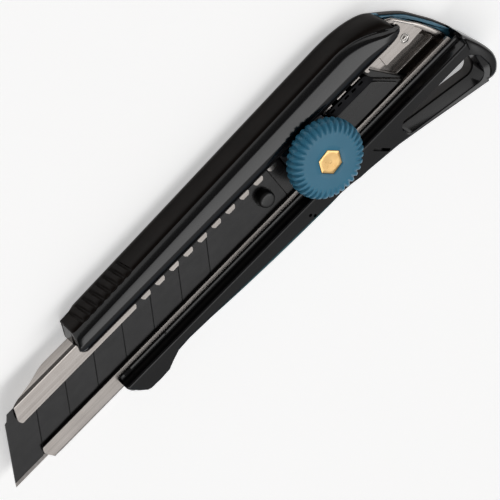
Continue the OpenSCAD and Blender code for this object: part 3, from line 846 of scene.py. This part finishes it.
def channel_details():
    """Two more pieces of the channel: its rolled rear lip and the rib of its floor."""
    path = smooth([(x - REAR_STEP, y) for x, y in CHANNEL_REAR[1:]], 6)
    section = [(-2.5, 2.5), (-2.35, 2.8), (-2.15, 2.86), (-1.95, 3.05), (-1.75, 3.32),
               (-1.55, 3.62), (-1.35, 3.84), (-1.05, 3.95), (-0.6, 4.0), (-0.15, 3.97),
               (0.1, 3.82), (0.2, 3.55), (0.2, 2.2)]
    rings = []
    for k, p in enumerate(path):
        a, b = Vector(path[max(k - 1, 0)]), Vector(path[min(k + 1, len(path) - 1)])
        t = (b - a).normalized()
        n = Vector((t.y, -t.x))
        rings.append([(p[0] + n.x * d, p[1] + n.y * d, z) for d, z in section])
    lip = loft("channel_rear_lip", rings)
    dress(lip, steel_mat, "handle", "steel", sharp=60)
    ribs = []
    for x, r in ((39.5, 0.05), (40.2, 0.3), (41, 0.45), (55, 0.45), (56, 0.45)):
        ribs.append([(x, -4.5 + r * 1.3 * math.cos(a), FLOOR_TOP - 0.05 + r * math.sin(a))
                     for a in [math.pi * i / 10 for i in range(11)]])
    rib = loft("channel_floor_rib", ribs)
    dress(rib, steel_mat, "handle", "steel", sharp=60)


# ---------------------------------------------------------------- rivet, stud, dial, screw
def tab_rivet():
    profile = [(0, 6.66), (0.3, 6.63), (0.52, 6.52), (0.62, 6.38), (0.68, 6.3), (0.95, 6.3),
               (1.03, 6.38), (1.1, 6.5), (1.2, 6.55), (1.32, 6.52), (1.4, 6.42), (1.4, 6.4),
               (1.08, 6.4), (1.06, FLANGE_LOW), (0, FLANGE_LOW)]
    return dress(lathe("tab_rivet_eyelet", profile, TAB_RIVET, 48), rivet_mat, "handle", "rivet",
                 "tab_rivet", sharp=50)


def blade_stud():
    profile = [(0, 7.93), (1.2, 7.93), (1.6, 7.9), (1.85, 7.82), (2.08, 7.66), (2.22, 7.45),
               (2.3, 7.15), (2.3, 4.9), (2.25, 4.85), (1.6, 4.85), (1.6, 3.0), (0, 3.0)]
    return dress(lathe("blade_stud_pin", profile, (STUD_X, 0), 64), stud_mat, "slider", "stud",
                 "blade_stud", sharp=50)


# The screw's hexagon: its turn in degrees and its width across the flats. A negative r in a
# profile below marks a point of the hexagon, and its value picks the gap or inset there.
HEX_TURN, HEX_WIDTH = 9.0, 6.1
DIAL_RIBS = 36


def hex_radius(a, half):
    """Distance from the axis to a hexagon of that half width, at angle a."""
    turned = (math.degrees(a) - HEX_TURN) % 60 - 30
    return half / math.cos(math.radians(turned))


DIAL = [  # r, z, radial depth of a groove, drop of a groove
    (4.6, 15.0, 0, 0), (5.8, 15.0, 0, 0), (7.2, 15.0, 0, 0), (7.6, 14.995, 0, 0.02),
    (7.95, 14.97, 0, 0.12), (8.35, 14.92, 0, 0.3), (8.9, 14.8, 0.05, 0.42),
    (9.4, 14.62, 0.12, 0.46), (9.85, 14.36, 0.24, 0.42), (10.2, 14.05, 0.36, 0.32),
    (10.5, 13.62, 0.46, 0.18), (10.7, 13.1, 0.52, 0.06), (10.78, 12.5, 0.54, 0),
    (10.8, 11.9, 0.54, 0), (10.76, 11.45, 0.5, 0), (10.6, 11.15, 0.4, 0), (10.3, 11.02, 0.2, 0),
    (9.9, 11.0, 0, 0), (9.2, 11.0, 0, 0), (9.05, 11.1, 0, 0), (9.0, 13.35, 0, 0),
    (4.45, 13.4, 0, 0), (4.3, 13.2, 0, 0), (4.3, 7.95, 0, 0), (4.2, 7.8, 0, 0),
    (2.9, 7.77, 0, 0), (2.5, 7.8, 0, 0), (2.5, 12.55, 0, 0), (-1, 12.6, 0, 0), (-1, 14.9, 0, 0),
    (-2, 15.0, 0, 0)]


def dial():
    def shape(k, r, z, a):
        if r < 0:
            return hex_radius(a, HEX_WIDTH / 2 + (0.06 if r == -1 else 0.16)), z
        _, _, deep, drop = DIAL[k]
        wave = 0.5 + 0.5 * math.cos(DIAL_RIBS * a)
        groove = 1.2 * (1 - min(1.0, wave * 1.5) ** 0.8)
        return r - deep * groove, z - drop * groove

    obj = lathe("dial_wheel", [(r, z) for r, z, _, _ in DIAL], (DIAL_X, 0), 432, shape)
    return dress(obj, dial_mat, "dial", "dial", "dial_knob", sharp=55)


def dial_screw():
    profile = [(0, 14.95), (0.35, 14.94), (0.4, 14.97), (1.4, 14.985), (2.4, 15.0), (-1, 15.0),
               (-2, 14.94), (-3, 14.8), (-3, 12.65), (2.45, 12.6), (2.45, 3.05), (2.3, 2.95),
               (0, 2.95)]

    def shape(k, r, z, a):
        if r < 0:
            inset = {-1: 0.2, -2: 0.06, -3: 0.0}[r]
            return hex_radius(a, HEX_WIDTH / 2 - inset), z
        return r, z

    return dress(lathe("dial_screw_hex", profile, (DIAL_X, 0), 120, shape), brass_mat, "dial",
                 "brass", "dial_screw", sharp=30)


# ---------------------------------------------------------------- slider
def slider():
    bed = rounded([(-12, -6.7), (-10, -8.7), (44.8, -8.7), (33.7, 9), (-10, 9), (-12, 7)],
                  [0.3, 0.3, 0.5, 0.5, 0.3, 0.3])
    obj = stack("carriage_body", bed, [(2.86, -0.1), (2.95, 0), (4.6, 0), (4.84, -0.22)])
    low = rounded([(21.2, -8.4), (43.6, -8.4), (41.9, -4.6), (36.0, 2.0), (34.6, 2.4),
                   (21.2, 2.4)], [0.1, 0.3, 0.3, 0.6, 0.3, 0.1])
    join(obj, stack("block", low, [(3.8, 0), (4.7, -0.05), (5.54, -0.45)]))
    join(obj, stack("stop", rounded([(0.15, -8.8), (4.35, -8.8), (4.35, 8.8), (0.15, 8.8)], 0.3),
                    [(3.8, 0), (5.32, 0), (5.4, -0.08)]))
    carve(obj,
          stack("pocket", [(4.4, -8.4), (20.2, -8.4), (20.2, 8.4), (4.4, 8.4)],
                [(3.6, 0), (20, 0)]),
          shaft("screw_hole", [(DIAL_X, 0)], 3.7, 0, 10, 48),
          shaft("stud_hole", [(STUD_X, 0)], 1.62, 0, 10, 32))
    dress(obj, slider_mat, "slider", "slider", "slider_carriage", sharp=35, flat_faces=True)
    plate = rounded([(21.25, -4.52), (40.5, -4.52), (35.9, 0.9), (34.7, 1.97), (21.25, 1.97)],
                    [0.5, 0.8, 0.8, 0.8, 0.5])
    cap = stack("cap_plate", plate, [(5.56, 0), (6.15, 0), (6.32, -0.06), (6.4, -0.2)])
    dress(cap, slider_mat, "slider", "slider", "slider_cap", sharp=40, flat_faces=True)


def detent_comb():
    outline = rounded([(20.8, 2.08), (35.2, 2.08), (35.9, 2.9), (34.2, 5.3), (20.8, 5.3)],
                      [0.2, 0.3, 0.3, 0.5, 0.2])
    obj = stack("detent_comb", outline, [(LIP, -0.04), (LIP + 0.06, 0), (LIP + 0.3, 0),
                                         (LIP + 0.4, -0.1)])
    join(obj, stack("stem", [(21.2, 2.12), (28.5, 2.12), (28.5, 4.4), (21.2, 4.4)],
                    [(4.86, 0), (LIP + 0.2, 0)]))
    for i in range(5):
        x = 21.6 + 2.5 * i
        corners = [(x, 4.1), (x + 1.5, 4.1), (x + 1.5, 4.7), (x, 4.7)]
        carve(obj, stack("window", rounded(corners, 0.2), [(0, 0), (20, 0)]))
    return dress(obj, black_steel_mat, "slider", "spring", "detent_spring")


# ---------------------------------------------------------------- build
spine_rail()
spine_skin()
lower_rail()
belly_strip()
back_shell()
back_pad()
blade_channel()
channel_details()
tab_rivet()
blade_stud()
dial()
dial_screw()
slider()
detent_comb()

KEPT = {"channel_rivets": rivet_mat, "shell_screws": zinc_mat, "blade": blade_mat,
        "pressure_washer": zinc_mat, "wave_washer": zinc_mat, "retaining_ring": black_steel_mat,
        "clamp_plate": zinc_mat}
for node, material in KEPT.items():
    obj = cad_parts[node]
    obj.data.materials.clear()
    obj.data.materials.append(material)


# ---------------------------------------------------------------- stage, light and camera
FLOOR_Z = -0.02


def floor():
    look = Look("floor_paper", (0.93, 0.925, 0.92), 0.9, Emission_Color=(1, 1, 1, 1),
                Emission_Strength=0.42)
    look.colour(look.blend(look.noise(9, 3), (0.92, 0.915, 0.91), (0.95, 0.945, 0.94)))
    n, size = 8, 2400
    verts = [(size * (i / n - 0.5), size * (j / n - 0.5), FLOOR_Z)
             for j in range(n + 1) for i in range(n + 1)]
    faces = [(j * (n + 1) + i, j * (n + 1) + i + 1, (j + 1) * (n + 1) + i + 1,
              (j + 1) * (n + 1) + i) for j in range(n) for i in range(n)]
    obj = make("floor", verts, faces)
    obj.data.transform(Matrix.Scale(MM, 4))
    obj.data.materials.append(look.mat)


# The surroundings by the angle from straight up towards +Y: degrees, brightness, blueness
SKY = [(-180, 0.18, 0), (-110, 0.15, 1), (-76, 0.2, 1), (-66, 0.36, 0), (-50, 0.42, 0),
       (-42, 0.56, 0), (-38, 0.70, 0), (-34, 1.0, 0), (-30, 2.6, 0), (-16, 2.6, 0), (-12, 0.8, 0),
       (-7, 0.15, 0), (6, 0.08, 0), (24, 0.12, 0), (80, 0.16, 0), (92, 0.3, 0)]
SKY_PEAK = 2.6
# Towards +X and -X the sky fades to a dark side, between these shares of |x|
SIDE_FADE = (0.72, 0.97)
SIDE_COLOUR = (0.032, 0.027, 0.023, 1)


def surroundings():
    world = bpy.data.worlds.new("studio")
    bpy.context.scene.world = world
    world.use_nodes = True
    tree = world.node_tree
    back = tree.nodes["Background"]
    place = tree.nodes.new("ShaderNodeTexCoord")
    split = tree.nodes.new("ShaderNodeSeparateXYZ")
    tree.links.new(place.outputs["Generated"], split.inputs[0])
    angle = tree.nodes.new("ShaderNodeMath")
    angle.operation = "ARCTAN2"
    tree.links.new(split.outputs["Y"], angle.inputs[0])
    tree.links.new(split.outputs["Z"], angle.inputs[1])
    share = tree.nodes.new("ShaderNodeMapRange")
    share.inputs["From Min"].default_value = -math.pi
    share.inputs["From Max"].default_value = math.pi
    tree.links.new(angle.outputs[0], share.inputs["Value"])
    ramp = tree.nodes.new("ShaderNodeValToRGB")
    tree.links.new(share.outputs["Result"], ramp.inputs["Fac"])
    stops = ramp.color_ramp.elements
    while len(stops) < len(SKY):
        stops.new(0.5)
    for stop, (degrees, _, _) in zip(stops, SKY):
        stop.position = (degrees + 180) / 360
    for stop, (_, level, blue) in zip(stops, SKY):
        v = level / SKY_PEAK
        stop.color = (v * (1 - 0.22 * blue), v * (1 - 0.06 * blue), v * (1 + 0.12 * blue), 1)
    side = tree.nodes.new("ShaderNodeMath")
    side.operation = "ABSOLUTE"
    tree.links.new(split.outputs["X"], side.inputs[0])
    fade = tree.nodes.new("ShaderNodeMapRange")
    fade.interpolation_type = "SMOOTHSTEP"
    fade.inputs["From Min"].default_value = SIDE_FADE[0]
    fade.inputs["From Max"].default_value = SIDE_FADE[1]
    tree.links.new(side.outputs[0], fade.inputs["Value"])
    mix = tree.nodes.new("ShaderNodeMix")
    mix.data_type = "RGBA"
    tree.links.new(fade.outputs["Result"], mix.inputs[0])
    tree.links.new(ramp.outputs["Color"], mix.inputs[6])
    mix.inputs[7].default_value = SIDE_COLOUR
    tree.links.new(mix.outputs[2], back.inputs["Color"])
    back.inputs["Strength"].default_value = SKY_PEAK


def camera():
    data = bpy.data.cameras.new("camera")
    data.lens, data.sensor_width = 180, 36
    data.clip_start, data.clip_end = 0.01, 20
    obj = bpy.data.objects.new("camera", data)
    bpy.context.scene.collection.objects.link(obj)
    right = (0.6982, -0.5218, 0.4901)
    up = (0.7102, 0.5910, -0.3826)
    back = (-0.0901, 0.6152, 0.7832)
    spot = (-73.284, 380.382, 500.914)
    obj.matrix_world = Matrix([
        (right[k], up[k], back[k], spot[k] * MM) for k in range(3)] + [(0, 0, 0, 1)])
    bpy.context.scene.camera = obj


floor()
surroundings()
camera()
bpy.context.scene.view_settings.view_transform = "Standard"
